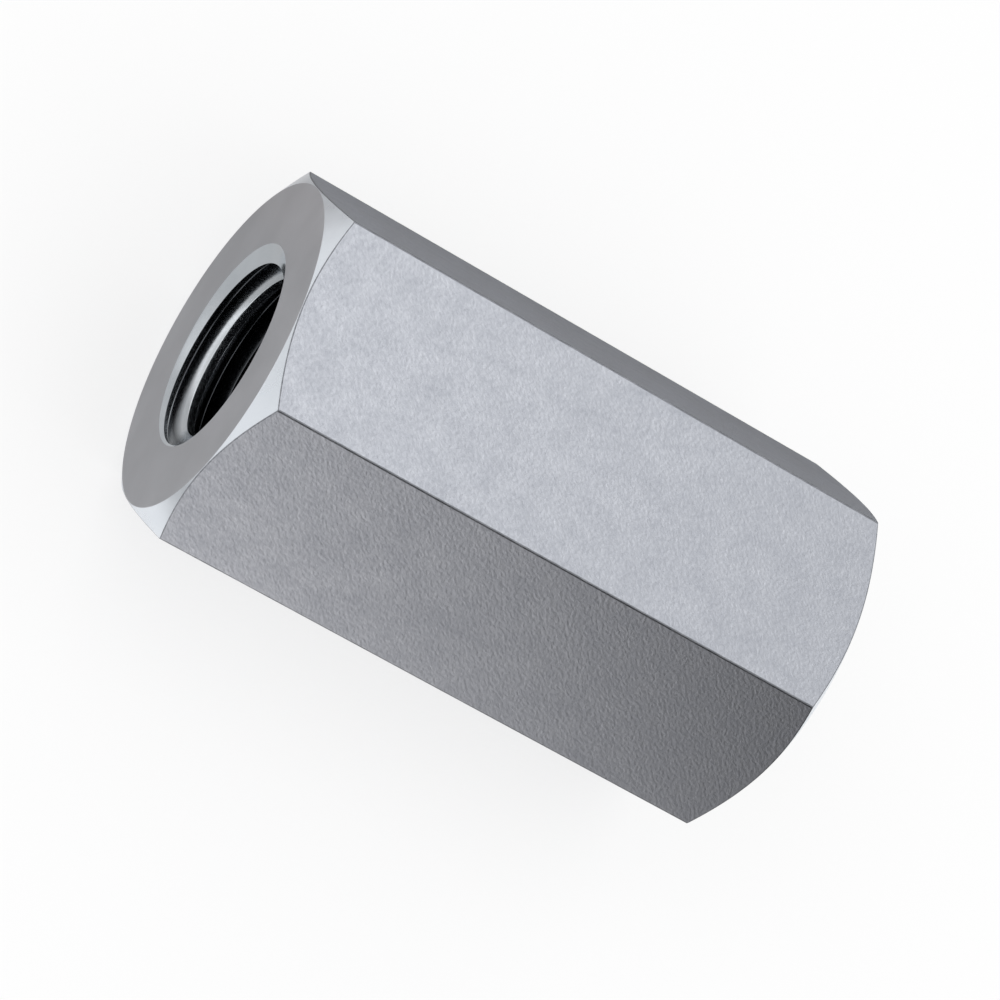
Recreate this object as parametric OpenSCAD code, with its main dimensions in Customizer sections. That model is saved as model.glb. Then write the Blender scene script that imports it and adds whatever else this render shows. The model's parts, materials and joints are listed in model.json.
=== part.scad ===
/* [Hexagon bar] */
// Width across the flats, the wrench size
across_flats = 13; // [10:0.5:24]
// Overall length along the thread axis
nut_length = 24; // [16:0.5:60]
// How far the sharp long edges are taken back towards the axis
edge_break = 0.015; // [0.005:0.005:0.3]

/* [End chamfers] */
// Angle between the turned chamfer and the end face
chamfer_angle = 30; // [15:1:40]
// How far the rim of the round end face stops short of the flats
end_face_inset = 0.05; // [0.05:0.05:0.4]

/* [Thread] */
// Nominal diameter of the thread
thread_d = 8; // [5:0.5:9]
// Pitch of the thread
thread_pitch = 1.25; // [0.5:0.25:1.5]
// How much wider than the thread each countersink is at the end face
sink_allowance = 0.1; // [0.05:0.05:0.8]
// Included angle of the countersinks
sink_angle = 120; // [60:5:140]

/* [Hidden] */
$fn = 96;

// The bar: a hexagon on its flats, and the round that its broken edges lie on
flat_count = 6;
half_turn = 180 / flat_count;
corner_r = across_flats / 2 / cos(half_turn);
edge_r = corner_r - edge_break;

// The chamfers: cones that fall from the rim of each end face out to the edges
end_face_r = across_flats / 2 - end_face_inset;
chamfer_fall = (edge_r - end_face_r) * tan(chamfer_angle);

// The bore: the minor diameter lies this share of a pitch inside the nominal one, for a 60 degree thread
minor_share = 1.0825;
bore_r = (thread_d - minor_share * thread_pitch) / 2;
sink_r = (thread_d + sink_allowance) / 2;
sink_depth = (sink_r - bore_r) / tan(sink_angle / 2);

// A form turned about Z, alike at both ends: end_r is its radius in the end planes, and fall is
// how far along the axis it takes to reach middle_r, which it keeps between the two cones
module turned(end_r, middle_r, fall) {
    half = nut_length / 2;
    rotate_extrude() polygon([
        [0, -half], [end_r, -half], [middle_r, fall - half],
        [middle_r, half - fall], [end_r, half], [0, half]
    ]);
}

// The nut upright on Z: hexagon bar turned down to its chamfers and edges, then bored and countersunk
module nut_blank() {
    difference() {
        intersection() {
            rotate(half_turn) cylinder(r = corner_r, h = nut_length, center = true, $fn = flat_count);
            turned(end_face_r, edge_r, chamfer_fall);
        }
        turned(sink_r, bore_r, sink_depth);
    }
}

// The nut as it lies: on one flat, with its thread along X and the middle of the thread at the origin
module coupling_nut() {
    color("silver") rotate([0, 90, 0]) nut_blank();
}

coupling_nut();
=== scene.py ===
import json
import math

import bmesh
import bpy
import numpy as np
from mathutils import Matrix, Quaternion, Vector


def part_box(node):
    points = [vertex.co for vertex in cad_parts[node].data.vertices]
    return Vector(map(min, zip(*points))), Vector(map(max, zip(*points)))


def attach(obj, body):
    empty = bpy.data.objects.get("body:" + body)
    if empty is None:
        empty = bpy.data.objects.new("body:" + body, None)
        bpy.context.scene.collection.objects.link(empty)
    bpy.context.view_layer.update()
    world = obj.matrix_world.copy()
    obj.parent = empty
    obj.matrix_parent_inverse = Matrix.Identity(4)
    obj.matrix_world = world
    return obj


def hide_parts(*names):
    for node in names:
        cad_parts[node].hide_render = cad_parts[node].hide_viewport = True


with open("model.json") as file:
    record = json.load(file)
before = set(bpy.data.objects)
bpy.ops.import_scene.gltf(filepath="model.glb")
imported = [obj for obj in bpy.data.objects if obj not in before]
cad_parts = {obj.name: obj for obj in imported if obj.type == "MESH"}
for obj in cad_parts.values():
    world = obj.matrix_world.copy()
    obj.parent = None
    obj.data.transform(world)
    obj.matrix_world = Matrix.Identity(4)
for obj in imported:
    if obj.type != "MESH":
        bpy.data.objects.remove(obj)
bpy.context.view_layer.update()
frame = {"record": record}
scene = bpy.context.scene
mm = 0.001
white = (1, 1, 1, 1)

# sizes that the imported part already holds, in millimetres
lowCorner, highCorner = (np.array(corner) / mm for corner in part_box("coupling_nut"))
threadMount = next(m for m in frame["record"]["mounts"] if m["name"] == "thread_left")
nutLength, acrossFlats = (highCorner - lowCorner)[[0, 2]]
boreRadius = threadMount["dims"]["r_mm"]
sinkDepth = (nutLength - threadMount["dims"]["length_mm"]) / 2
halfLength = nutLength / 2
halfFlats = acrossFlats / 2
endForEnd = np.array([[-1], [1]])              # swaps the ends of rows of (x, radius)
print(f"frame: nut {nutLength:.2f} long, {acrossFlats:.2f} across flats, bore {2 * boreRadius:.3f}")


# Points on an arc that rounds a corner: prev, corner and following are (2, n) arrays of x and radius,
# and the arc is swung between the two normals where it leaves the straight sides.
def roundedCorner(prev, corner, following, radius, segments):
    toPrev = (prev - corner) / np.linalg.norm(prev - corner, axis=0)
    toNext = (following - corner) / np.linalg.norm(following - corner, axis=0)
    turn = np.pi - np.arccos(np.clip((toPrev * toNext).sum(0), -1, 1))
    reach = radius * np.tan(turn / 2)
    inward = toPrev + toNext
    centre = corner + inward / np.linalg.norm(inward, axis=0) * radius / np.cos(turn / 2)
    start = corner + toPrev * reach - centre
    end = corner + toNext * reach - centre
    share = np.linspace(0, 1, segments + 1)[:, None, None]
    return centre + (np.sin((1 - share) * turn) * start + np.sin(share * turn) * end) / np.sin(turn)


# Straight run from one (2, n) array of points to another at the given shares of the way.
def straightRun(start, end, shares):
    return start + (end - start) * np.asarray(shares, float)[:, None, None]


skin = {
    "edgeRadius": 0.1,                         # along the six long edges
    "turnedRadius": 0.05,                      # where the chamfers meet the flats and the end faces
    "mouthRadius": 0.03,                       # lip of the countersinks
    "endFaceInset": 0.05,                      # end face rim to the flats
    "chamferAngle": 30,
    "chamferShares": (0.04, 0.5, 0.96),        # rows across a chamfer, close to its two edges
    "flatColumns": 25,
    "edgeColumns": 6,
    "arcSegments": 4,
    "hold": 0.03,                              # keeps the flats and end faces flat up to their edges
    "lengthRows": 10,
    "weld": 0.0002,                            # points nearer than this are joined
    "sharpAngle": 40,                          # steeper edges aren't smoothed over
}
flatCount = 6
halfSector = math.pi / flatCount               # from the middle of a flat to its edge
edgeInner = halfFlats - skin["edgeRadius"]
flatReach = edgeInner * math.tan(halfSector)   # from the middle of a flat to where its edge's arc starts
arcCentre = edgeInner / math.cos(halfSector)   # from the axis to the centre of that arc


# Columns round the axis: evenly over each flat, with extra ones on the arc of each long edge.
def columnAngles():
    flat = np.linspace(-1, 1, skin["flatColumns"]) * math.atan2(flatReach - skin["hold"], halfFlats)
    swing = np.linspace(-halfSector, halfSector, skin["edgeColumns"] + 1)
    outward = arcCentre + skin["edgeRadius"] * np.cos(swing)
    aside = skin["edgeRadius"] * np.sin(swing)
    sector = np.concatenate([flat, halfSector + np.arctan2(aside, outward)])
    normals = halfSector * (1 + 2 * np.arange(flatCount))
    angles = (normals[:, None] + sector).ravel()
    return np.append(angles, angles[0] + 2 * np.pi)


# True for the strips that lie on the arc of a long edge.
def onLongEdge(count):
    place = np.arange(count) % (count // flatCount)
    return (place >= skin["flatColumns"]) & (place < skin["flatColumns"] + skin["edgeColumns"])


# Distance from the axis to the rounded hexagon: half the width over the cosine on a flat, and the
# far crossing with the edge's circle near a corner.
def hexRadius(angles):
    local = (angles % (2 * halfSector)) - halfSector       # from the nearest flat's normal
    off = np.abs(local) - halfSector                       # from the nearest long edge
    root = np.sqrt(np.maximum(skin["edgeRadius"] ** 2 - (arcCentre * np.sin(off)) ** 2, 0))
    onFlat = np.abs(local) <= math.atan2(flatReach, halfFlats)
    return np.where(onFlat, halfFlats / np.cos(local), arcCentre * np.cos(off) + root)


thread = {
    "major": 8.0,
    "pitch": 1.25,
    "crestShare": 0.25,                        # of the pitch, at the minor diameter
    "rootShare": 0.125,                        # of the pitch, at the major diameter
    "crestRound": 0.03,
    "rootRound": 0.045,
    "cornerSegments": 2,
    "firstCrest": 0.95,                        # depth of the first full crest where the far wall shows
    "crestBearing": -67.8,                     # degrees round the axis where that depth holds
    "spareTurns": 2,                           # past each end, for the countersinks to cut away
}
countersink = {
    "allowance": 0.1,                          # wider than the thread at the end face
    "angle": 120,
    "rows": 5,
    "halvings": 40,                            # in the search for its run-out
}
mouthRadius = (thread["major"] + countersink["allowance"]) / 2
coneSlope = math.tan(math.radians(countersink["angle"] / 2))


# One pitch of the thread as shares of the pitch and radii: crest flat, rising flank, root flat and
# falling flank, with each corner rounded and a point half way along each side.
def threadProfile():
    pitch, major = thread["pitch"], thread["major"] / 2
    crest, root = thread["crestShare"] * pitch, thread["rootShare"] * pitch
    flank = (pitch - crest - root) / 2
    along = np.cumsum([-flank, flank, crest, flank, root, flank])
    heights = [major, boreRadius, boreRadius, major, major, boreRadius]
    corners = np.array([along, heights])[:, :, None]
    rounds = [thread["crestRound"]] * 2 + [thread["rootRound"]] * 2
    rows = []
    for i, radius in enumerate(rounds):
        before, corner, after = corners[:, i], corners[:, i + 1], corners[:, i + 2]
        rows.append(roundedCorner(before, corner, after, radius, thread["cornerSegments"]))
        rows.append(straightRun(corner, after, [0.5]))
    profile = np.concatenate(rows)[:, :, 0]
    return profile[:, 0] / pitch, profile[:, 1]


profileShare, profileRadius = threadProfile()
threadStart = -halfLength + thread["firstCrest"] - thread["pitch"] * thread["crestBearing"] / 360


# Radius of the threaded wall at x and an angle: the profile read at x less the helix's own advance.
def threadRadius(x, angles):
    share = ((x - threadStart) / thread["pitch"] - angles / (2 * np.pi)) % 1
    return np.interp(share, profileShare, profileRadius, period=1)


# Depth at which the countersink's cone runs out into the thread, found by halving: the cone falls at
# least as fast as any flank, so they cross once.
def sinkReach(angles, side):
    shallow, deep = np.zeros_like(angles), np.full_like(angles, sinkDepth)
    for _ in range(countersink["halvings"]):
        middle = (shallow + deep) / 2
        above = threadRadius(side * (halfLength - middle), angles) > mouthRadius - middle * coneSlope
        shallow, deep = np.where(above, shallow, middle), np.where(above, middle, deep)
    return deep


# The outside as rows of (x, radius) over all columns: lip, end face, chamfer, flat and back again.
# The bands are the rows where the chamfer and the flat start.
def skinRows(angles):
    radius = hexRadius(angles)
    endRim = halfFlats - skin["endFaceInset"]
    full = np.ones_like(angles)
    fall = (radius - endRim) * math.tan(math.radians(skin["chamferAngle"]))
    sinkFoot = np.array([full * (sinkDepth - halfLength), full * boreRadius])
    lip = np.array([full * -halfLength, full * mouthRadius])
    rim = np.array([full * -halfLength, full * endRim])
    edge = np.array([fall - halfLength, radius])
    middle = np.array([full * 0, radius])
    turned, segments = skin["turnedRadius"], skin["arcSegments"]
    lipArc = roundedCorner(sinkFoot, lip, rim, skin["mouthRadius"], segments)
    rimArc = roundedCorner(lip, rim, edge, turned, segments)
    edgeArc = roundedCorner(rim, edge, middle, turned, segments)
    holdShare = skin["hold"] / (endRim - mouthRadius)
    face = straightRun(lipArc[-1], rimArc[0], [holdShare, 0.5, 1 - holdShare])
    chamfer = straightRun(rimArc[-1], edgeArc[0], skin["chamferShares"])
    lengthShares = np.append(skin["hold"] / halfLength, np.linspace(0, 1, skin["lengthRows"])[1:])
    flat = straightRun(edgeArc[-1], middle, lengthShares)
    left = np.concatenate([lipArc, face, rimArc, chamfer, edgeArc, flat])
    right = left[-2::-1] * endForEnd
    bands = np.cumsum([len(lipArc) + len(face) + len(rimArc) - 1, len(chamfer) + len(edgeArc)])
    return np.concatenate([left, right]), bands


# The bore as rows from the right mouth to the left one: cone, thread, cone. Thread rows follow the
# helix, and where the cone has cut them away they gather on the line where it runs out.
def boreRows(angles, leftLip):
    pitch, spare = thread["pitch"], thread["spareTurns"]
    leftReach, rightReach = sinkReach(angles, -1), sinkReach(angles, 1)
    turns = np.arange(math.ceil(nutLength / pitch) + spare, -spare - 1, -1)
    shares = np.sort(profileShare % 1)[::-1]
    helix = (turns[:, None] + shares).ravel()[:, None]
    x = threadStart + pitch * (helix + angles / (2 * np.pi))
    lowest, highest = leftReach - halfLength, halfLength - rightReach
    radius = threadRadius(x, angles)
    radius = np.where(x < lowest, mouthRadius - leftReach * coneSlope, radius)
    radius = np.where(x > highest, mouthRadius - rightReach * coneSlope, radius)
    wall = np.stack([np.clip(x, lowest, highest), radius], axis=1)
    coneShares = np.linspace(0, 1, countersink["rows"] + 1)[1:-1]
    rightCone = straightRun(leftLip * endForEnd, wall[0], coneShares)
    leftCone = straightRun(wall[-1], leftLip, coneShares)
    return np.concatenate([rightCone, wall, leftCone]), len(rightCone)


# slots of the nut's finishes, in the order in which they are made below; the edge slot is painted shade,
# and the thread slot zinc with painted shade in the bore
flatSlot, endSlot, chamferSlot, threadSlot, edgeSlot, sinkSlot = range(6)


# The finish of each strip of the grid: bands of the outside, the same from both ends, then the bore.
def finishSlots(shape, outsideRows, bands, coneRows):
    rowCount, stripCount = shape
    chamferStart, flatStart = bands
    edgeStart = flatStart - skin["arcSegments"]
    last = outsideRows - 1
    slots = np.full(shape, chamferSlot)
    slots[:chamferStart] = endSlot
    slots[last - chamferStart:last] = endSlot
    slots[edgeStart:last - edgeStart] = edgeSlot
    slots[flatStart:last - flatStart] = np.where(onLongEdge(stripCount), edgeSlot, flatSlot)
    slots[last:] = sinkSlot
    slots[outsideRows + coneRows:rowCount - coneRows - 1] = threadSlot
    return slots


# The whole nut is one closed grid: rows run round its cut section and columns round its axis.
def buildNut():
    angles = columnAngles()
    outside, bands = skinRows(angles)
    inside, coneRows = boreRows(angles, outside[0])
    rows = np.concatenate([outside, inside])
    x, radius = rows[:, 0], rows[:, 1]
    points = np.stack([x, radius * np.cos(angles), radius * np.sin(angles)], axis=-1) * mm
    grid = np.arange(x.size).reshape(x.shape)
    above = np.roll(grid, -1, axis=0)
    quads = np.stack([grid[:, :-1], above[:, :-1], above[:, 1:], grid[:, 1:]], axis=-1)
    slots = finishSlots(quads.shape[:2], len(outside), bands, coneRows)
    mesh = bpy.data.meshes.new("couplingNut")
    mesh.from_pydata(points.reshape(-1, 3).tolist(), [], quads.reshape(-1, 4).tolist())
    mesh.polygons.foreach_set("material_index", slots.ravel().astype(np.int32))
    work = bmesh.new()
    work.from_mesh(mesh)
    bmesh.ops.remove_doubles(work, verts=work.verts, dist=skin["weld"] * mm)
    bmesh.ops.recalc_face_normals(work, faces=work.faces)
    work.to_mesh(mesh)
    work.free()
    mesh.shade_smooth()
    mesh.set_sharp_from_angle(angle=math.radians(skin["sharpAngle"]))
    nut = bpy.data.objects.new("couplingNut", mesh)
    scene.collection.objects.link(nut)
    return nut


# Edges that don't have exactly two faces.
def openEdgeCount(mesh):
    loopEdges = np.empty(len(mesh.loops), dtype=np.int32)
    mesh.loops.foreach_get("edge_index", loopEdges)
    return np.count_nonzero(np.bincount(loopEdges, minlength=len(mesh.edges)) != 2)


nut = buildNut()
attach(nut, "root")
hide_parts("coupling_nut")
print(f"nut: {len(nut.data.vertices)} points, {len(nut.data.polygons)} faces, "
      f"{openEdgeCount(nut.data)} open edges")


def addNode(tree, kind, **settings):
    node = tree.nodes.new("ShaderNode" + kind)
    for name, value in settings.items():
        if name in node.inputs:
            node.inputs[name].default_value = value
        else:
            setattr(node, name, value)
    return node


def newMaterial(name):
    material = bpy.data.materials.new(name)
    material.use_nodes = True
    tree = material.node_tree
    return material, tree, tree.nodes["Principled BSDF"]


def mathNode(tree, operation, *values):
    node = addNode(tree, "Math", operation=operation)
    for socket, value in zip(node.inputs, values):
        if isinstance(value, (int, float)):
            socket.default_value = value
        else:
            tree.links.new(value, socket)
    return node.outputs["Value"]


# Noise whose cells measure size, in millimetres, along an axis and across it.
def grainNoise(tree, size, along=(1, 0, 0), detail=3, roughness=0.5):
    coords = addNode(tree, "TexCoord")
    mapping = addNode(tree, "Mapping", vector_type="TEXTURE")
    mapping.inputs["Rotation"].default_value = Vector(along).to_track_quat("X", "Z").to_euler()
    mapping.inputs["Scale"].default_value = [s * mm for s in size]
    noise = addNode(tree, "TexNoise", Scale=1, Detail=detail, Roughness=roughness)
    tree.links.new(coords.outputs["Object"], mapping.inputs["Vector"])
    tree.links.new(mapping.outputs["Vector"], noise.inputs["Vector"])
    return noise.outputs["Fac"]


def objectAxes(tree):
    coords = addNode(tree, "TexCoord")
    split = addNode(tree, "SeparateXYZ")
    tree.links.new(coords.outputs["Object"], split.inputs["Vector"])
    return split.outputs


# Distance from the thread axis, the root of y squared plus z squared.
def axisDistance(tree):
    axes = objectAxes(tree)
    squares = [mathNode(tree, "MULTIPLY", axes[name], axes[name]) for name in "YZ"]
    return mathNode(tree, "SQRT", mathNode(tree, "ADD", *squares))


noiseReach = (0.3, 0.7)                        # where nearly all of a noise lies


# A value carried from one range to another, and held at its ends.
def spread(tree, value, low, high, reach=noiseReach):
    ranged = addNode(tree, "MapRange")
    for name, number in zip(("From Min", "From Max", "To Min", "To Max"), (*reach, low, high)):
        ranged.inputs[name].default_value = number
    tree.links.new(value, ranged.inputs["Value"])
    return ranged.outputs["Result"]


def tinted(tree, share, dark, light):
    mix = addNode(tree, "Mix", data_type="RGBA")
    mix.inputs["A"].default_value = (*dark, 1)
    mix.inputs["B"].default_value = (*light, 1)
    tree.links.new(share, mix.inputs["Factor"])
    return mix.outputs["Result"]


# Colour and roughness that drift together as one noise does.
def drift(tree, shader, noise, zinc, reach=noiseReach):
    colour = tinted(tree, spread(tree, noise, 0, 1, reach), zinc["dark"], zinc["light"])
    tree.links.new(colour, shader.inputs["Base Color"])
    tree.links.new(spread(tree, noise, *zinc["roughness"], reach), shader.inputs["Roughness"])


def roughen(tree, shader, height, distance):
    bump = addNode(tree, "Bump", Strength=1, Distance=distance * mm)
    tree.links.new(height, bump.inputs["Height"])
    tree.links.new(bump.outputs["Normal"], shader.inputs["Normal"])


drawnZinc = {
    "dark": (0.50, 0.52, 0.57),
    "light": (0.62, 0.64, 0.69),
    "roughness": (0.52, 0.40),                 # dark to light
    "cloud": {"size": (1.4, 1.1, 1.1), "detail": 4, "roughness": 0.6},
    "speck": {"size": (0.22, 0.19, 0.19), "detail": 1.5},
    "shares": (0.52, 0.45),                    # of clouds and specks in the mottle
    "reach": 0.2,                              # from its middle to its darkest and lightest
    "grain": {"size": (0.18, 0.11, 0.11), "along": (0.67, -0.37, -0.64), "detail": 1, "roughness": 0.4},
    "grainHeight": 0.0165,
}


# Flats of the drawn bar: cloudy zinc with fine specks over a short slanting grain.
def layDrawnZinc(tree, shader, zinc):
    noises = (grainNoise(tree, **zinc["cloud"]), grainNoise(tree, **zinc["speck"]))
    weighed = [mathNode(tree, "MULTIPLY", *pair) for pair in zip(noises, zinc["shares"])]
    middle = sum(zinc["shares"]) / 2
    reach = (middle - zinc["reach"], middle + zinc["reach"])
    drift(tree, shader, mathNode(tree, "ADD", *weighed), zinc, reach)
    roughen(tree, shader, grainNoise(tree, **zinc["grain"]), zinc["grainHeight"])


turnedZinc = {
    "dark": (0.54, 0.545, 0.575),
    "light": (0.60, 0.605, 0.635),
    "roughness": (0.34, 0.42),
    "cloud": {"size": (1.8, 1.8, 1.8)},
    "feed": 0.09,                              # spacing of the tool marks, millimetres
    "markDetail": 2,
    "markHeight": 0.0006,
}


# End faces: smoother, with faint rings left by the turning tool.
def layTurnedZinc(tree, shader, zinc):
    drift(tree, shader, grainNoise(tree, **zinc["cloud"]), zinc)
    rings = addNode(tree, "TexNoise", noise_dimensions="1D", Detail=zinc["markDetail"])
    rings.inputs["Scale"].default_value = 1 / (zinc["feed"] * mm)
    tree.links.new(axisDistance(tree), rings.inputs["W"])
    roughen(tree, shader, rings.outputs["Fac"], zinc["markHeight"])


# The brightest cuts, nearly plain: the chamfers, and the countersinks, which are smoothest.
chamferZinc = {
    "dark": (0.74, 0.78, 0.83),
    "light": (0.80, 0.84, 0.89),
    "roughness": (0.26, 0.34),
    "cloud": {"size": (1.2, 1.2, 1.2)},
}
sunkZinc = {
    "dark": (0.79, 0.84, 0.89),
    "light": (0.86, 0.91, 0.96),
    "roughness": (0.14, 0.20),
    "cloud": {"size": (1.2, 1.2, 1.2)},
}


def layBrightZinc(tree, shader, zinc):
    drift(tree, shader, grainNoise(tree, **zinc["cloud"]), zinc)


tappedZinc = {
    "bright": (0.79, 0.83, 0.87),              # zinc where no painted shade is laid
    "paintedShade": (0.10, 0.105, 0.115),              # painted shade, deep in the bore and at the roots
    "mouth": (0.25, 0.45),                     # depth from the end face, unshaded to full painted shade: all round the wall
    "crests": (1.0, 1.7),                      # the same, along the crests
    "crestRadius": (3.5, 3.8),                 # from the axis, unshaded to painted shade
    "roughness": (0.16, 0.24),
    "smear": {"size": (0.5, 0.14, 0.14), "detail": 2},
    "smearHeight": 0.0015,
}


# Thread: zinc with painted shade, darker towards the roots and deeper into the bore, with slight smears.
def layTappedZinc(tree, shader, zinc):
    smear = grainNoise(tree, **zinc["smear"])
    fromMiddle = mathNode(tree, "ABSOLUTE", objectAxes(tree)["X"])
    mouth, crests = (spread(tree, fromMiddle, 1, 0, [(halfLength - depth) * mm for depth in zinc[name]])
                     for name in ("mouth", "crests"))
    high = spread(tree, axisDistance(tree), 1, 0, [radius * mm for radius in zinc["crestRadius"]])
    # the share left free of painted shade: near the mouth, and on the crests
    unshadedShare = mathNode(tree, "MAXIMUM", mouth, mathNode(tree, "MULTIPLY", crests, high))
    tree.links.new(tinted(tree, unshadedShare, zinc["paintedShade"], zinc["bright"]), shader.inputs["Base Color"])
    tree.links.new(spread(tree, smear, *zinc["roughness"]), shader.inputs["Roughness"])
    roughen(tree, shader, smear, zinc["smearHeight"])


# painted shade along the edges: a dark base colour, mottled between its darkest and lightest
edgeShade = {
    "dark": (0.20, 0.21, 0.23),
    "light": (0.34, 0.35, 0.38),
    "roughness": 0.4,
    "shadeMottle": {"size": (0.6, 0.12, 0.12)},
}


# Edges of the flats, along the nut and at the chamfers: painted shade, a dark base colour along each edge.
def layEdgeShade(tree, shader, zinc):
    shadeMottle = spread(tree, grainNoise(tree, **zinc["shadeMottle"]), 0, 1)
    tree.links.new(tinted(tree, shadeMottle, zinc["dark"], zinc["light"]), shader.inputs["Base Color"])
    shader.inputs["Roughness"].default_value = zinc["roughness"]


# in the order of the slots: name, settings and the function that lays it
finishes = (
    ("drawnZinc", drawnZinc, layDrawnZinc),
    ("turnedZinc", turnedZinc, layTurnedZinc),
    # zinc with painted shade in the bore
    ("chamferZinc", chamferZinc, layBrightZinc),
    ("tappedZinc", tappedZinc, layTappedZinc),
    # painted shade on the edges
    ("paintedEdgeShade", edgeShade, layEdgeShade),
    ("sunkZinc", sunkZinc, layBrightZinc),
)
for finishName, zincSettings, layZinc in finishes:
    zincMaterial, zincTree, zincShader = newMaterial(finishName)
    zincShader.inputs["Metallic"].default_value = 1
    layZinc(zincTree, zincShader, zincSettings)
    nut.data.materials.append(zincMaterial)
print("finishes: " + ", ".join(m.name for m in nut.data.materials))


studio = {
    "floorColour": (0.30, 0.30, 0.30),
    "floorGlow": 0.685,                        # seen by the camera and in reflections, over its lit colour
    "floorSize": 3000,
    "floorDrop": 0.02,                         # below the flat that the nut lies on
    "ambient": 0.95,
    "keyPlace": (150, -260, 420),
    "keySize": 300,
    "keyPower": 0.35,
}


# One for rays from the camera, a shiny surface or glass, and nought for the light that fills the scene.
def looked(tree):
    rays = addNode(tree, "LightPath")
    seen = mathNode(tree, "MAXIMUM", rays.outputs["Is Camera Ray"], rays.outputs["Is Glossy Ray"])
    return mathNode(tree, "MAXIMUM", seen, rays.outputs["Is Transmission Ray"])


# The floor is one square sheet. It keeps the nut's shadow in the part of its brightness that is lit.
def addFloor():
    reach = studio["floorSize"] / 2 * mm
    level = (lowCorner[2] - studio["floorDrop"]) * mm
    corners = np.array([[-reach, -reach], [reach, -reach], [reach, reach], [-reach, reach]])
    mesh = bpy.data.meshes.new("floor")
    mesh.from_pydata(np.c_[corners, np.full(4, level)].tolist(), [], [(0, 1, 2, 3)])
    material, tree, shader = newMaterial("paleFloor")
    shader.inputs["Base Color"].default_value = (*studio["floorColour"], 1)
    shader.inputs["Roughness"].default_value = 1
    shader.inputs["Specular IOR Level"].default_value = 0
    shader.inputs["Emission Color"].default_value = white
    glow = spread(tree, looked(tree), 0, studio["floorGlow"], (0, 1))
    tree.links.new(glow, shader.inputs["Emission Strength"])
    mesh.materials.append(material)
    floor = bpy.data.objects.new("floor", mesh)
    scene.collection.objects.link(floor)


# Cards that only the metal sees, as a photographer sets round a bright part, but glowing sheets that paint
# its reflections: those on the floor paint the floor's reflection, with painted shade where they are dim.
# Each has a corner, its two sides in millimetres, and how bright it is at the start and the end of its
# first side.
cards = {
    "overhead": ((-20, -60, 150), (190, 0, 0), (0, 260, 0), (1.65, 0)),
    "left": ((-85, -70, -6.3), (0, 130, 0), (0, 0, 66), (0.66, 0.66)),
    "leftFloor": ((-84, -60, -6.48), (0, 120, 0), (70, 0, 0), (0.98, 0.98)),
    "frontFloor": ((-15, -60, -6.3), (56, 0, 0), (0, 52, 0), (1.12, 0)),
    "frontFar": ((41, -60, -6.3), (94, 0, 0), (0, 52, 0), (0, 0)),
    "frontWall": ((-15, -60, -6.3), (56, 0, 0), (0, 0, 26), (0.95, 0)),
    "frontWallFar": ((41, -60, -6.3), (94, 0, 0), (0, 0, 26), (0, 0)),
    "frontTop": ((-60, -60, 20), (200, 0, 0), (0, 0, 75), (0.03, 0.03)),
    "end": ((-28, -5.5, -6.44), (0, 24, 0), (16, 0, 0), (0.5, 0.39)),
    "endFront": ((-27, -16, -6.4), (10, 0, 0), (0, 10, 0), (0.7, 0.4)),
    "back": ((-12, 7.7, -6.3), (72, 0, 0), (0, 52, 0), (0.1, 0.1)),
    "backNear": ((-34, 7.7, -6.3), (22, 0, 0), (0, 52, 0), (0.62, 0.43)),
    "backRim": ((-12, 7.7, -6.25), (2.6, 0, 0), (0, 6, 0), (0.72, 0.66)),
}
cardTints = {                                  # by how a card's name starts, and plain for the rest
    "front": (1.02, 0.998, 0.985),
    "back": (1.01, 0.99, 0.985),
}


def makeCardGlow():
    material, tree, shader = newMaterial("cardGlow")
    tree.nodes.remove(shader)
    emission = addNode(tree, "Emission")
    glow = addNode(tree, "Attribute", attribute_name="glow")
    tree.links.new(glow.outputs["Color"], emission.inputs["Color"])
    tree.links.new(emission.outputs["Emission"], tree.nodes["Material Output"].inputs["Surface"])
    return material


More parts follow.
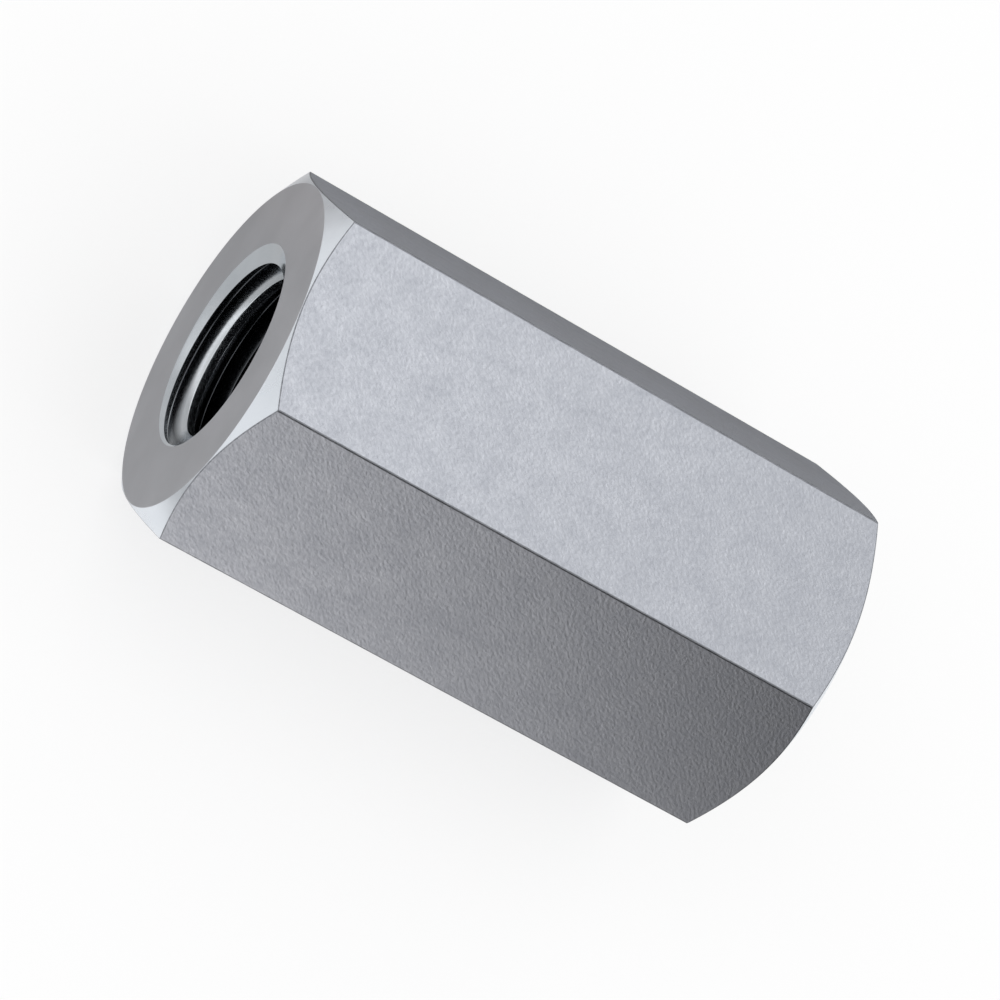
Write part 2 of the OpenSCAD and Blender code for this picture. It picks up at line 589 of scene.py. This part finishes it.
# A card is a flat sheet: its corner plus shares of its two sides.
def addCard(name, card, material):
    corner, along, across = (np.array(place, float) for place in card[:3])
    u, v = (share.reshape(-1, 1) for share in np.meshgrid([0, 1], [0, 1]))
    points = corner + u * along + v * across
    tint = next((t for start, t in cardTints.items() if name.startswith(start)), (1, 1, 1))
    colour = np.interp(u, [0, 1], card[3]) * np.array([*tint, 1])
    mesh = bpy.data.meshes.new(name + "Card")
    mesh.from_pydata((points * mm).tolist(), [], [(0, 1, 3, 2)])
    glow = mesh.attributes.new("glow", "FLOAT_COLOR", "POINT")
    glow.data.foreach_set("color", colour.ravel().astype(np.float32))
    mesh.materials.append(material)
    sheet = bpy.data.objects.new(name + "Card", mesh)
    sheet.visible_camera = False
    sheet.visible_shadow = False
    sheet.visible_diffuse = False
    scene.collection.objects.link(sheet)


def addKey():
    place = Vector(studio["keyPlace"])
    lamp = bpy.data.lights.new("key", "AREA")
    lamp.size = studio["keySize"] * mm
    lamp.energy = studio["keyPower"]
    light = bpy.data.objects.new("key", lamp)
    light.location = place * mm
    light.rotation_mode = "QUATERNION"
    light.rotation_quaternion = (-place).to_track_quat("-Z", "Y")
    light.visible_camera = False
    light.visible_glossy = False
    scene.collection.objects.link(light)


# White where the camera or the metal looks at it, and a softer fill for the rest.
def addWorld():
    world = bpy.data.worlds.new("studio")
    world.use_nodes = True
    tree = world.node_tree
    background = tree.nodes["Background"]
    background.inputs["Color"].default_value = white
    strength = spread(tree, looked(tree), studio["ambient"], 1, (0, 1))
    tree.links.new(strength, background.inputs["Strength"])
    scene.world = world


camera = {
    "azimuth": -45,                            # degrees, as the next two
    "elevation": 60.05,
    "roll": 70.1,
    "distance": 183.1,
    "lens": 182.9,
    "sensor": 36,
    "clip": (10, 10000),
}


def addCamera():
    azimuth, elevation, roll = (math.radians(camera[name]) for name in ("azimuth", "elevation", "roll"))
    level = math.cos(elevation)
    back = Vector((math.sin(azimuth) * level, -math.cos(azimuth) * level, math.sin(elevation)))
    lens = bpy.data.cameras.new("camera")
    lens.lens = camera["lens"]
    lens.sensor_width = camera["sensor"]
    lens.clip_start, lens.clip_end = (distance * mm for distance in camera["clip"])
    view = bpy.data.objects.new("camera", lens)
    view.location = back * camera["distance"] * mm
    view.rotation_mode = "QUATERNION"
    view.rotation_quaternion = (-back).to_track_quat("-Z", "Y") @ Quaternion((0, 0, 1), roll)
    scene.collection.objects.link(view)
    scene.camera = view


addFloor()
cardGlow = makeCardGlow()
for cardName, card in cards.items():
    addCard(cardName, card, cardGlow)
addKey()
addWorld()
addCamera()
scene.view_settings.view_transform = "Standard"
print(f"studio: floor, {len(cards)} cards, key light, world and camera")
